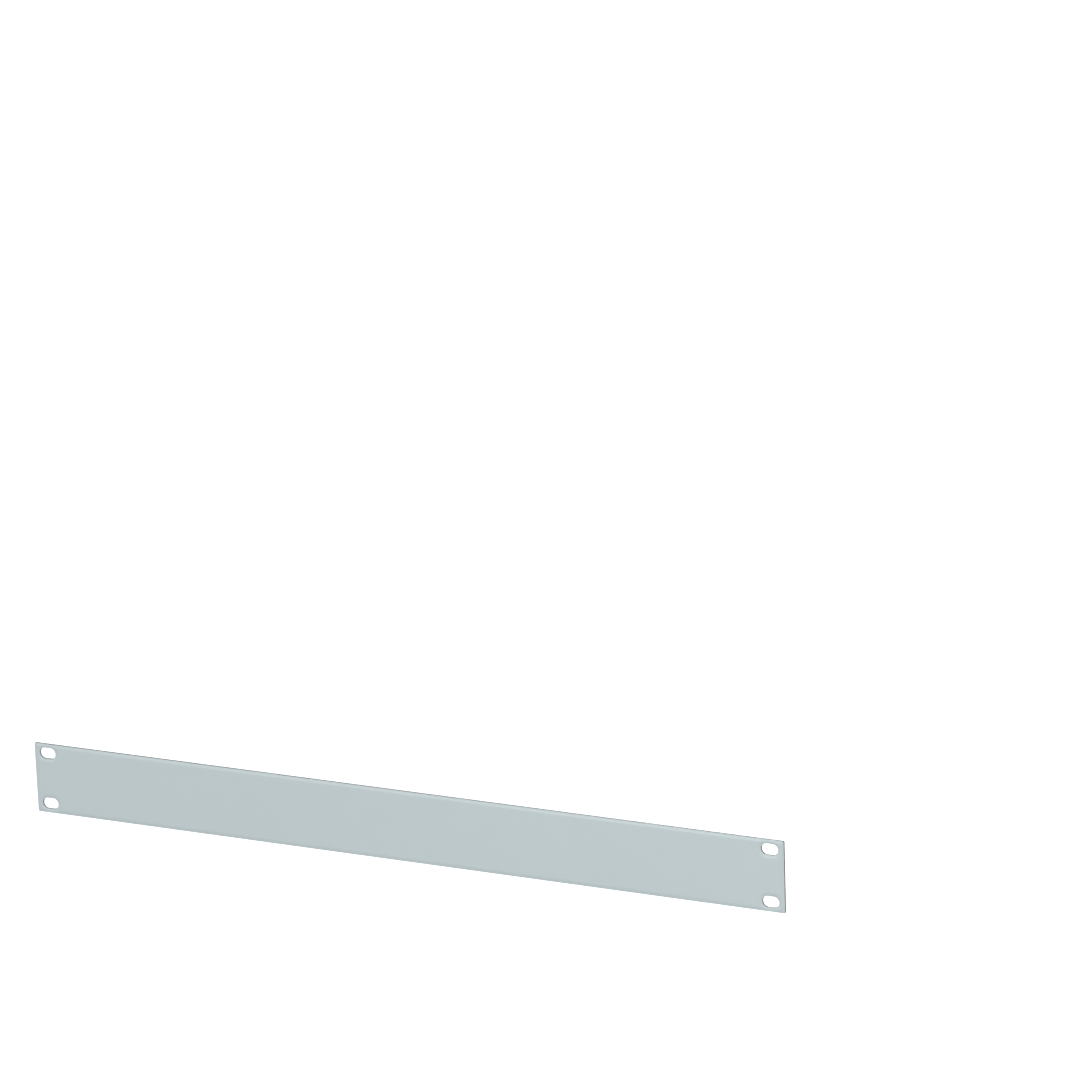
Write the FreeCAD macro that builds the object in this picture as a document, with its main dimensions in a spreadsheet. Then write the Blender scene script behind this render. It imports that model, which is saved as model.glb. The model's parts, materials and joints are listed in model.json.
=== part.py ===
import FreeCAD, Part
import math
import os
import Sketcher

# Blanking panel for a 19 inch equipment rack: one flat punched steel sheet, one rack unit high,
# with a horizontal mounting slot near each corner.
#
# Frame, in millimetres: +X along the panel's length, +Z up as mounted, front face towards -Y.
# The origin is the middle of the slot pattern on the rear face, which lies against the rails.

PANEL_NODE = "panel"

# Driving sizes: name, value, meaning.
SIZES = (
    ("rack_pitch", 44.45, "height of one rack unit"),
    ("unit_count", 1, "rack units that the panel covers"),
    ("stacking_gap", 0.85, "height left free between neighbours in the rack"),
    ("rail_spacing", 465.1, "slot centre to slot centre, from rail to rail"),
    ("end_margin", 8.75, "slot centre to the end of the panel, 482.6 overall"),
    ("slot_inset", 6.35, "slot centre to the edge of the rack unit"),
    ("sheet_thickness", 1.5, "thickness of the steel sheet"),
    ("corner_radius", 0.8, "radius of the four outer corners"),
    ("slot_length", 10.3, "end to end of one slot"),
    ("slot_width", 6.8, "height of one slot, with full round ends"),
    ("front_edge_radius", 0.3, "rolled edge that the punch leaves on the front"),
    ("rear_edge_radius", 0.15, "deburred edge on the rear"),
)

# Sketcher's numbers for an edge's start, end and centre points, and the start of the sketch's
# own x axis, which is its origin.
START, END, CENTRE = range(1, 4)
ORIGIN = (-1, START)

# How far a place may be off, in millimetres, and a change of volume, as a share of that change.
PLACE_TOLERANCE = 0.001
CHANGE_TOLERANCE = 0.001


def fill_sheet(doc):
    """Write the driving sizes into a spreadsheet, one row each, and give each value its alias."""
    sheet = doc.addObject("Spreadsheet::Sheet", "Sizes")
    for row, (name, value, meaning) in enumerate(SIZES, start=1):
        sheet.set("A%d" % row, meaning)
        sheet.set("B%d" % row, str(value))
        sheet.setAlias("B%d" % row, name)
    doc.recompute()
    return sheet


def origin_plane(body, role):
    """Return the body's own origin plane with this role."""
    for plane in body.Origin.OriginFeatures:
        if plane.Role == role:
            return plane
    raise LookupError("no origin plane called " + role)


def upright_sketch(body, name):
    """Return a new sketch on the rear plane, with its own x along +X and its own y along +Z."""
    sketch = body.newObject("Sketcher::SketchObject", name)
    sketch.AttachmentSupport = (origin_plane(body, "XZ_Plane"), [""])
    sketch.MapMode = "FlatFace"
    return sketch


def named_constraint(sketch, name, constraint, expression):
    """Add a dimension to the sketch, name it and bind it to the sheet."""
    index = sketch.addConstraint(constraint)
    sketch.renameConstraint(index, name)
    sketch.setExpression("Constraints." + name, expression)


def draw_outline(sketch, length, height):
    """Draw the panel's rectangle, centred on the sketch's origin."""
    corners = [
        FreeCAD.Vector(-length / 2, -height / 2, 0),
        FreeCAD.Vector(length / 2, -height / 2, 0),
        FreeCAD.Vector(length / 2, height / 2, 0),
        FreeCAD.Vector(-length / 2, height / 2, 0),
    ]
    sides = []
    for first, second in zip(corners, corners[1:] + corners[:1]):
        sides.append(sketch.addGeometry(Part.LineSegment(first, second), False))
    bottom, right, top, left = sides
    for side, following in zip(sides, sides[1:] + sides[:1]):
        sketch.addConstraint(Sketcher.Constraint("Coincident", side, END, following, START))
    for side in (bottom, top):
        sketch.addConstraint(Sketcher.Constraint("Horizontal", side))
    for side in (right, left):
        sketch.addConstraint(Sketcher.Constraint("Vertical", side))
    sketch.addConstraint(Sketcher.Constraint("Symmetric", bottom, START, top, START, *ORIGIN))
    named_constraint(
        sketch,
        "length",
        Sketcher.Constraint("DistanceX", bottom, START, bottom, END, length),
        "Sizes.rail_spacing + 2 * Sizes.end_margin",
    )
    named_constraint(
        sketch,
        "height",
        Sketcher.Constraint("DistanceY", right, START, right, END, height),
        "Sizes.rack_pitch * Sizes.unit_count - Sizes.stacking_gap",
    )


def draw_slot(sketch, centre, length, width):
    """Draw one obround slot with its middle at the given point."""
    radius = width / 2
    reach = (length - width) / 2
    upright = FreeCAD.Vector(0, 0, 1)
    left_centre = centre - FreeCAD.Vector(reach, 0, 0)
    right_centre = centre + FreeCAD.Vector(reach, 0, 0)
    rise = FreeCAD.Vector(0, radius, 0)
    quarter = math.pi / 2
    left_circle = Part.Circle(left_centre, upright, radius)
    right_circle = Part.Circle(right_centre, upright, radius)
    bottom = sketch.addGeometry(Part.LineSegment(left_centre - rise, right_centre - rise), False)
    right = sketch.addGeometry(Part.ArcOfCircle(right_circle, -quarter, quarter), False)
    top = sketch.addGeometry(Part.LineSegment(right_centre + rise, left_centre + rise), False)
    left = sketch.addGeometry(Part.ArcOfCircle(left_circle, quarter, 3 * quarter), False)
    middle = sketch.addGeometry(Part.Point(centre), True)
    outline = (bottom, right, top, left)
    for edge, following in zip(outline, outline[1:] + outline[:1]):
        sketch.addConstraint(Sketcher.Constraint("Tangent", edge, END, following, START))
    sketch.addConstraint(Sketcher.Constraint("Horizontal", bottom))
    sketch.addConstraint(Sketcher.Constraint("Symmetric", left, CENTRE, right, CENTRE, middle, START))
    named_constraint(
        sketch,
        "width",
        Sketcher.Constraint("Distance", bottom, START, top, END, width),
        "Sizes.slot_width",
    )
    named_constraint(
        sketch,
        "centres",
        Sketcher.Constraint("DistanceX", left, CENTRE, right, CENTRE, 2 * reach),
        "Sizes.slot_length - Sizes.slot_width",
    )
    named_constraint(
        sketch,
        "across",
        Sketcher.Constraint("DistanceX", *ORIGIN, middle, START, centre.x),
        "Sizes.rail_spacing / 2",
    )
    named_constraint(
        sketch,
        "up",
        Sketcher.Constraint("DistanceY", *ORIGIN, middle, START, centre.y),
        "Sizes.rack_pitch * Sizes.unit_count / 2 - Sizes.slot_inset",
    )


def edge_names(shape, wanted):
    """Return the names of the shape's edges that the test accepts."""
    return ["Edge%d" % number for number, edge in enumerate(shape.Edges, start=1) if wanted(edge)]


def runs_through(edge):
    """Tell whether a straight edge runs through the sheet from front to rear."""
    box = edge.BoundBox
    return max(box.XLength, box.ZLength) < PLACE_TOLERANCE


def lies_at(depth):
    """Return a test for edges that lie in the plane at this y."""
    def test(edge):
        box = edge.BoundBox
        return max(abs(box.YMin - depth), abs(box.YMax - depth)) < PLACE_TOLERANCE
    return test


def round_edges(body, name, base, wanted, expression):
    """Fillet the base feature's edges that the test accepts, with the radius bound to the sheet."""
    fillet = body.newObject("PartDesign::Fillet", name)
    fillet.Base = (base, edge_names(base.Shape, wanted))
    fillet.setExpression("Radius", expression)
    body.Document.recompute()
    if not fillet.Shape.Volume < base.Shape.Volume:
        raise ValueError("%s took nothing off" % name)
    return fillet


def expect_change(feature, before, change):
    """Stop if the feature didn't change the volume before it by what the sizes give."""
    found = feature.Shape.Volume - before
    if abs(found - change) > CHANGE_TOLERANCE * abs(change):
        raise ValueError("%s changes the volume by %.3f, not %.3f" % (feature.Name, found, change))


def build_blank(body, sheet):
    """Build the plain sheet with its rounded corners."""
    length = sheet.rail_spacing + 2 * sheet.end_margin
    height = sheet.rack_pitch * sheet.unit_count - sheet.stacking_gap
    outline = upright_sketch(body, "Outline")
    draw_outline(outline, length, height)
    blank = body.newObject("PartDesign::Pad", "Blank")
    blank.Profile = outline
    blank.setExpression("Length", "Sizes.sheet_thickness")
    body.Document.recompute()
    expect_change(blank, 0, length * height * sheet.sheet_thickness)
    return round_edges(body, "Corners", blank, runs_through, "Sizes.corner_radius")


def cut_slots(body, sheet, blank):
    """Cut the upper right slot through the sheet and mirror it to the other three corners."""
    across = sheet.rail_spacing / 2
    up = sheet.rack_pitch * sheet.unit_count / 2 - sheet.slot_inset
    outline = upright_sketch(body, "SlotOutline")
    draw_slot(outline, FreeCAD.Vector(across, up, 0), sheet.slot_length, sheet.slot_width)
    slot = body.newObject("PartDesign::Pocket", "Slot")
    slot.Profile = outline
    slot.Type = "ThroughAll"
    slot.Reversed = True
    body.Document.recompute()
    straight = (sheet.slot_length - sheet.slot_width) * sheet.slot_width
    ends = math.pi * (sheet.slot_width / 2) ** 2
    slot_volume = (straight + ends) * sheet.sheet_thickness
    expect_change(slot, blank.Shape.Volume, -slot_volume)

    four_slots = body.newObject("PartDesign::MultiTransform", "FourSlots")
    four_slots.Originals = [slot]
    to_left = body.newObject("PartDesign::Mirrored", "ToLeft")
    to_left.MirrorPlane = (origin_plane(body, "YZ_Plane"), [""])
    to_bottom = body.newObject("PartDesign::Mirrored", "ToBottom")
    to_bottom.MirrorPlane = (origin_plane(body, "XY_Plane"), [""])
    four_slots.Transformations = [to_left, to_bottom]
    body.Tip = four_slots
    body.Document.recompute()
    expect_change(four_slots, blank.Shape.Volume, -4 * slot_volume)
    return four_slots


def build_panel(doc, sheet):
    """Build the panel: the sheet, its four slots, and the edges of both on each face."""
    body = doc.addObject("PartDesign::Body", PANEL_NODE)
    body.Label = PANEL_NODE
    body.Placement = FreeCAD.Placement()
    blank = build_blank(body, sheet)
    punched = cut_slots(body, sheet, blank)
    front_plane = -sheet.sheet_thickness
    rolled = round_edges(body, "RolledEdges", punched, lies_at(front_plane), "Sizes.front_edge_radius")
    deburred = round_edges(body, "DeburredEdges", rolled, lies_at(0), "Sizes.rear_edge_radius")
    body.Tip = deburred
    doc.recompute()
    return body


def check_document(doc, bodies):
    """Stop if any object failed, or if a sub-part's solid is missing or not valid."""
    for item in doc.Objects:
        if "Invalid" in item.State or "Error" in item.State:
            raise ValueError("%s failed: %s" % (item.Name, item.State))
    for body in bodies:
        if body.Shape.isNull() or not body.Shape.isValid():
            raise ValueError("%s has no valid shape" % body.Label)


def main():
    doc = FreeCAD.newDocument("BlankingPanel")
    sheet = fill_sheet(doc)
    bodies = [build_panel(doc, sheet)]
    check_document(doc, bodies)
    os.makedirs("parts", exist_ok=True)
    for body in bodies:
        body.Shape.exportStep("parts/%s.step" % body.Label)
        print(body.Label, "volume", round(body.Shape.Volume, 1), "faces", len(body.Shape.Faces))


main()
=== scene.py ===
import json
import math

import bpy
from mathutils import Matrix, Vector


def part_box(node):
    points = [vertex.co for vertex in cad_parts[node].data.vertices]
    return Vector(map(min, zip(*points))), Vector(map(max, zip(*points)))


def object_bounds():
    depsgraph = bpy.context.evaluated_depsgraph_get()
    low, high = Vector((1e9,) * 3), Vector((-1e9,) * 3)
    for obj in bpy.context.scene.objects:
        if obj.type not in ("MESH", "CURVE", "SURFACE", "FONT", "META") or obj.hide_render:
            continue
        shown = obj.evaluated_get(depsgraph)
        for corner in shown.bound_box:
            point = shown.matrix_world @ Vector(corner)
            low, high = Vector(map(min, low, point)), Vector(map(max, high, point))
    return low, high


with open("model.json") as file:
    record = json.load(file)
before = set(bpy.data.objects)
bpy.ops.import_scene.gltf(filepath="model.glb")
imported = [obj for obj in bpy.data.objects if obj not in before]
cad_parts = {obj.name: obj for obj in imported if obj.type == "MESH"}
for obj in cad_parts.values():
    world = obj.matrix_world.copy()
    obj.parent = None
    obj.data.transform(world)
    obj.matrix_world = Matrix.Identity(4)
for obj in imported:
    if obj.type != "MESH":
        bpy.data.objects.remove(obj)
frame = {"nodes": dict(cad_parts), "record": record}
cad_low, cad_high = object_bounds()

# Lengths are metres in the CAD frame: +X along the panel, +Z up, front face towards -Y.
MM = 0.001
PANEL = "panel"

# The panel's outline and faces. Its middle is at the origin in x and z.
panel_low, panel_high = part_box(PANEL)
HALF_LENGTH = panel_high[0]
HALF_HEIGHT = panel_high[2]
FRONT_FACE = panel_low[1]
REAR_FACE = panel_high[1]

# The four slots, from the record's mount: a capsule near each corner, mirrored in x and z.
slots = next(mount["dims"] for mount in frame["record"]["mounts"] if mount["name"] == "rack_slots")
SLOT_RADIUS = slots["hole_r_mm"] * MM
SLOT_REACH = slots["slot_length_mm"] * MM / 2 - SLOT_RADIUS
SLOT_ACROSS = slots["spacing_x_mm"] * MM / 2
SLOT_UP = slots["spacing_y_mm"] * MM / 2

# The camera that took the photograph: the picture's side and the focal length in pixels, the
# camera's place, and in degrees how far it is turned to the left, tilted down and rolled.
PHOTO_SIDE = 1089
FOCAL_PIXELS = 5940
CAMERA_PLACE = (1.4625, -2.8720, 1.2260)
CAMERA_TURN = 25.405
CAMERA_TILT = 18.181
CAMERA_ROLL = -2.021
SENSOR_WIDTH_MM = 36.0
CLIP_START = 0.1
CLIP_END = 200.0

# Light grey powder coat, as linear colour. Each kind of unevenness gives the size of its spots and
# the share of the colour that it adds or takes away.
COAT_COLOUR = (0.520, 0.594, 0.612)
MOTTLE = (60 * MM, 0.012)
CLOUD = (12 * MM, 0.010)
GRAIN = (0.6 * MM, 0.012)
NOISE_DETAIL = 2.0

# Satin gloss: the roughness, and the size of its patches with how far they move it.
COAT_ROUGHNESS = 0.40
GLOSS_PATCHES = (3 * MM, 0.04)

# The coat's relief: a soft orange peel with a finer one on it, each with the size of its spots and
# its depth.
ORANGE_PEEL = (2.4 * MM, 0.012 * MM)
FINE_PEEL = (0.5 * MM, 0.002 * MM)

# Both faces roll over softly towards every edge: how far in, how deep at the edge, and how softly
# the roll-overs of two edges that lie close together meet.
ROLL_WIDTH = 2.4 * MM
ROLL_DROP = 0.31 * MM
ROLL_BLEND = 1.5 * MM

# The punched walls of the outline and the slots begin close behind either face. They are rougher
# than the faces by WALL_ROUGHNESS, and their colour is darkened by painted shade, as a share of the
# coat's colour: first on the smooth band at the front, then on the torn, slightly lower zone behind
# it.
WALL_START = 0.02 * MM
WALL_FULL = 0.15 * MM
WALL_ROUGHNESS = 0.10
WALL_PAINTED_SHADE = (0.77, 0.66)
BAND_END = 0.5 * MM
TORN_START = 0.7 * MM
TORN_DROP = 0.02 * MM

# Scores that the punch drew along its walls, from front to rear. SCORE_STRETCH is their width as a
# share of their length, and SCORE_SHADE how far they move the wall's shade.
SCORE_WIDTH = 0.25 * MM
SCORE_DEPTH = 0.006 * MM
SCORE_STRETCH = 0.12
SCORE_SHADE = 0.12

# Studio: a faint surround, brighter from the left and from below, and three soft square lights,
# each with its place, its side and its watts.
SURROUND_LEVEL = 0.15
SURROUND_SLOPE = (-0.13, 0.0, -0.08)
FRONT_LIGHT = ((-1.8, -6.0, 1.5), 2.0, 204.0)
SIDE_LIGHT = ((1.6, -2.3, 1.6), 1.2, 58.0)
REAR_LIGHT = ((-0.5, 3.1, 0.4), 1.2, 66.0)

# The backdrop and the floor both come out as plain white.
WHITE = (1.0, 1.0, 1.0, 1.0)
BACKDROP_STRENGTH = 1.2
FLOOR_SIDE = 60.0
FLOOR_COLOUR = (0.8, 0.8, 0.8, 1.0)
FLOOR_GLOW = 1.0


class Nodes:
    """Short calls for the nodes of one tree."""

    def __init__(self, tree):
        self.tree = tree

    def add(self, kind, **settings):
        """Add a node of this kind and set its properties."""
        node = self.tree.nodes.new("ShaderNode" + kind)
        for name, value in settings.items():
            setattr(node, name, value)
        return node

    def feed(self, target, value):
        """Link an output to this input, or set the input to a plain value."""
        if isinstance(value, bpy.types.NodeSocket):
            self.tree.links.new(value, target)
        else:
            target.default_value = value

    def math(self, operation, *values):
        """Return the result of one sum on numbers."""
        node = self.add("Math", operation=operation)
        for target, value in zip(node.inputs, values):
            self.feed(target, value)
        return node.outputs["Value"]

    def vector(self, operation, first, second, result="Vector"):
        """Return the result of one sum on vectors."""
        node = self.add("VectorMath", operation=operation)
        self.feed(node.inputs[0], first)
        self.feed(node.inputs["Scale" if operation == "SCALE" else 1], second)
        return node.outputs[result]

    def fade(self, value, start, end):
        """Go smoothly from 0 to 1 as the value goes from start to end."""
        node = self.add("MapRange", interpolation_type="SMOOTHSTEP")
        self.feed(node.inputs["Value"], value)
        self.feed(node.inputs["From Min"], start)
        self.feed(node.inputs["From Max"], end)
        return node.outputs["Result"]

    def noise(self, place, size):
        """Return noise about zero, within -1 and 1, with spots of this size."""
        node = self.add("TexNoise")
        self.feed(node.inputs["Vector"], place)
        self.feed(node.inputs["Scale"], 1 / size)
        self.feed(node.inputs["Detail"], NOISE_DETAIL)
        return self.math("MULTIPLY_ADD", node.outputs["Fac"], 2.0, -1.0)

    def uneven(self, place, size, amount):
        """Return noise with spots of this size, up to this amount above and below zero."""
        return self.math("MULTIPLY", self.noise(place, size), amount)

    def total(self, *values):
        """Return the values added up."""
        result = values[0]
        for value in values[1:]:
            result = self.math("ADD", result, value)
        return result

    def between(self, first, second, share):
        """Return the number at this share of the way from first to second."""
        node = self.add("Mix", data_type="FLOAT")
        self.feed(node.inputs["Factor"], share)
        self.feed(node.inputs["A"], first)
        self.feed(node.inputs["B"], second)
        return node.outputs["Result"]


def new_material(name):
    """Return an empty node material, its nodes and its Principled shader."""
    material = bpy.data.materials.new(name)
    material.use_nodes = True
    material.node_tree.nodes.clear()
    nodes = Nodes(material.node_tree)
    output = nodes.add("OutputMaterial")
    shader = nodes.add("BsdfPrincipled")
    nodes.feed(output.inputs["Surface"], shader.outputs["BSDF"])
    return material, nodes, shader


def gaps(nodes, place):
    """Return how far a point is from the nearest edge of a face, and how far behind the front."""
    axes = nodes.add("SeparateXYZ")
    nodes.feed(axes.inputs["Vector"], place)
    from_middle = nodes.math("ABSOLUTE", axes.outputs["X"])
    from_centre_line = nodes.math("ABSOLUTE", axes.outputs["Z"])
    to_end = nodes.math("SUBTRACT", HALF_LENGTH, from_middle)
    to_side = nodes.math("SUBTRACT", HALF_HEIGHT, from_centre_line)
    rim_gap = nodes.math("SMOOTH_MIN", to_end, to_side, ROLL_BLEND)

    across = nodes.math("ABSOLUTE", nodes.math("SUBTRACT", from_middle, SLOT_ACROSS))
    beyond = nodes.math("MAXIMUM", nodes.math("SUBTRACT", across, SLOT_REACH), 0.0)
    up = nodes.math("SUBTRACT", from_centre_line, SLOT_UP)
    beyond_squared = nodes.math("MULTIPLY", beyond, beyond)
    from_axis = nodes.math("SQRT", nodes.math("MULTIPLY_ADD", up, up, beyond_squared))
    slot_gap = nodes.math("SUBTRACT", from_axis, SLOT_RADIUS)

    edge_gap = nodes.math("SMOOTH_MIN", rim_gap, slot_gap, ROLL_BLEND)
    depth = nodes.math("SUBTRACT", axes.outputs["Y"], FRONT_FACE)
    return edge_gap, depth


def coat_colour(nodes, place, on_wall, torn, scores):
    """Return the coat's colour: slightly uneven, scored on the punched walls, and darkened there by
    painted shade.
    """
    face_shade = nodes.total(1.0, *(nodes.uneven(place, *kind) for kind in (MOTTLE, CLOUD, GRAIN)))
    scored_shade = nodes.math("MULTIPLY_ADD", scores, SCORE_SHADE, 1.0)
    # Painted shade: the punched walls are darkened, more on the torn zone, and the scores vary it.
    wall_painted_shade_and_scores = nodes.math("MULTIPLY", nodes.between(*WALL_PAINTED_SHADE, torn), scored_shade)
    shade = nodes.math("MULTIPLY", face_shade, nodes.between(1.0, wall_painted_shade_and_scores, on_wall))
    return nodes.vector("SCALE", COAT_COLOUR, shade)


def coat_roughness(nodes, place, on_wall):
    """Return the coat's roughness: satin in soft patches, and rougher on the punched walls."""
    gloss = nodes.uneven(place, *GLOSS_PATCHES)
    rough_wall = nodes.math("MULTIPLY", on_wall, WALL_ROUGHNESS)
    return nodes.total(COAT_ROUGHNESS, gloss, rough_wall)


def coat_relief(nodes, place, edge_gap, on_wall, torn, scores):
    """Return the coat's height in metres: orange peel, punch marks and rolled-over edges."""
    peel = [nodes.uneven(place, *kind) for kind in (ORANGE_PEEL, FINE_PEEL)]
    scored = nodes.math("MULTIPLY", scores, SCORE_DEPTH)
    dropped = nodes.math("MULTIPLY", torn, -TORN_DROP)
    wall_relief = nodes.math("MULTIPLY", nodes.total(scored, dropped), on_wall)
    rolled = nodes.fade(edge_gap, ROLL_WIDTH, 0.0)
    roll_over = nodes.math("MULTIPLY", rolled, -ROLL_DROP)
    return nodes.total(*peel, wall_relief, roll_over)


def powder_coat():
    """Return the panel's material: a satin light grey coat with scored walls where it was punched."""
    material, nodes, shader = new_material("powder_coat")
    place = nodes.add("TexCoord").outputs["Object"]
    edge_gap, depth = gaps(nodes, place)
    to_rear = nodes.math("SUBTRACT", REAR_FACE - FRONT_FACE, depth)
    on_wall = nodes.fade(nodes.math("MINIMUM", depth, to_rear), WALL_START, WALL_FULL)
    torn = nodes.fade(depth, BAND_END, TORN_START)
    along_punch = nodes.vector("MULTIPLY", place, (1.0, SCORE_STRETCH, 1.0))
    scores = nodes.noise(along_punch, SCORE_WIDTH)
    nodes.feed(shader.inputs["Base Color"], coat_colour(nodes, place, on_wall, torn, scores))
    nodes.feed(shader.inputs["Roughness"], coat_roughness(nodes, place, on_wall))

    # The relief is in metres, so the bump takes it at its full height.
    bump = nodes.add("Bump")
    nodes.feed(bump.inputs["Distance"], 1.0)
    nodes.feed(bump.inputs["Height"], coat_relief(nodes, place, edge_gap, on_wall, torn, scores))
    nodes.feed(shader.inputs["Normal"], bump.outputs["Normal"])
    return material


def make_camera():
    """Place the camera that matches the photograph."""
    data = bpy.data.cameras.new("camera")
    data.sensor_width = SENSOR_WIDTH_MM
    data.lens = FOCAL_PIXELS / PHOTO_SIDE * SENSOR_WIDTH_MM
    data.clip_start = CLIP_START
    data.clip_end = CLIP_END
    camera = bpy.data.objects.new("camera", data)
    bpy.context.scene.collection.objects.link(camera)

    # A camera that isn't turned looks straight down.
    turn = Matrix.Rotation(math.radians(CAMERA_TURN), 4, "Z")
    tilt = Matrix.Rotation(math.radians(90 - CAMERA_TILT), 4, "X")
    roll = Matrix.Rotation(math.radians(CAMERA_ROLL), 4, "Z")
    camera.matrix_world = Matrix.Translation(CAMERA_PLACE) @ turn @ tilt @ roll
    bpy.context.scene.camera = camera


def soft_light(name, place, side, power):
    """Hang a square soft light that looks at the panel's middle."""
    data = bpy.data.lights.new(name, "AREA")
    data.size = side
    data.energy = power
    light = bpy.data.objects.new(name, data)
    light.location = place
    light.rotation_euler = (-Vector(place)).to_track_quat("-Z", "Y").to_euler()
    bpy.context.scene.collection.objects.link(light)


def make_floor():
    """Lay a plain white floor under the panel's lower edge."""
    half = FLOOR_SIDE / 2
    level = cad_low[2]
    mesh = bpy.data.meshes.new("floor")
    corners = [(-half, -half, level), (half, -half, level), (half, half, level), (-half, half, level)]
    mesh.from_pydata(corners, [], [(0, 1, 2, 3)])
    floor = bpy.data.objects.new("floor", mesh)
    bpy.context.scene.collection.objects.link(floor)
    material, nodes, shader = new_material("floor_white")
    nodes.feed(shader.inputs["Base Color"], FLOOR_COLOUR)
    nodes.feed(shader.inputs["Roughness"], 1.0)
    nodes.feed(shader.inputs["Specular IOR Level"], 0.0)
    nodes.feed(shader.inputs["Emission Color"], WHITE)
    nodes.feed(shader.inputs["Emission Strength"], FLOOR_GLOW)
    mesh.materials.append(material)

    # The glow is there for the camera alone: it doesn't light the panel or show in its gloss.
    floor.visible_diffuse = False
    floor.visible_glossy = False


def make_surround():
    """Light the scene faintly from all round, and show plain white behind it."""
    world = bpy.data.worlds.new("studio")
    world.use_nodes = True
    world.node_tree.nodes.clear()
    nodes = Nodes(world.node_tree)
    direction = nodes.add("TexCoord").outputs["Generated"]
    along_slope = nodes.vector("DOT_PRODUCT", direction, SURROUND_SLOPE, "Value")
    light = nodes.add("Background")
    nodes.feed(light.inputs["Color"], nodes.total(along_slope, SURROUND_LEVEL))
    backdrop = nodes.add("Background")
    nodes.feed(backdrop.inputs["Color"], WHITE)
    nodes.feed(backdrop.inputs["Strength"], BACKDROP_STRENGTH)
    choice = nodes.add("MixShader")
    nodes.feed(choice.inputs["Fac"], nodes.add("LightPath").outputs["Is Camera Ray"])
    nodes.feed(choice.inputs[1], light.outputs["Background"])
    nodes.feed(choice.inputs[2], backdrop.outputs["Background"])
    nodes.feed(nodes.add("OutputWorld").inputs["Surface"], choice.outputs["Shader"])
    bpy.context.scene.world = world


frame["nodes"][PANEL].material_slots[0].material = powder_coat()
make_camera()
make_floor()
make_surround()
soft_light("front_light", *FRONT_LIGHT)
soft_light("side_light", *SIDE_LIGHT)
soft_light("rear_light", *REAR_LIGHT)
bpy.context.scene.view_settings.view_transform = "Standard"
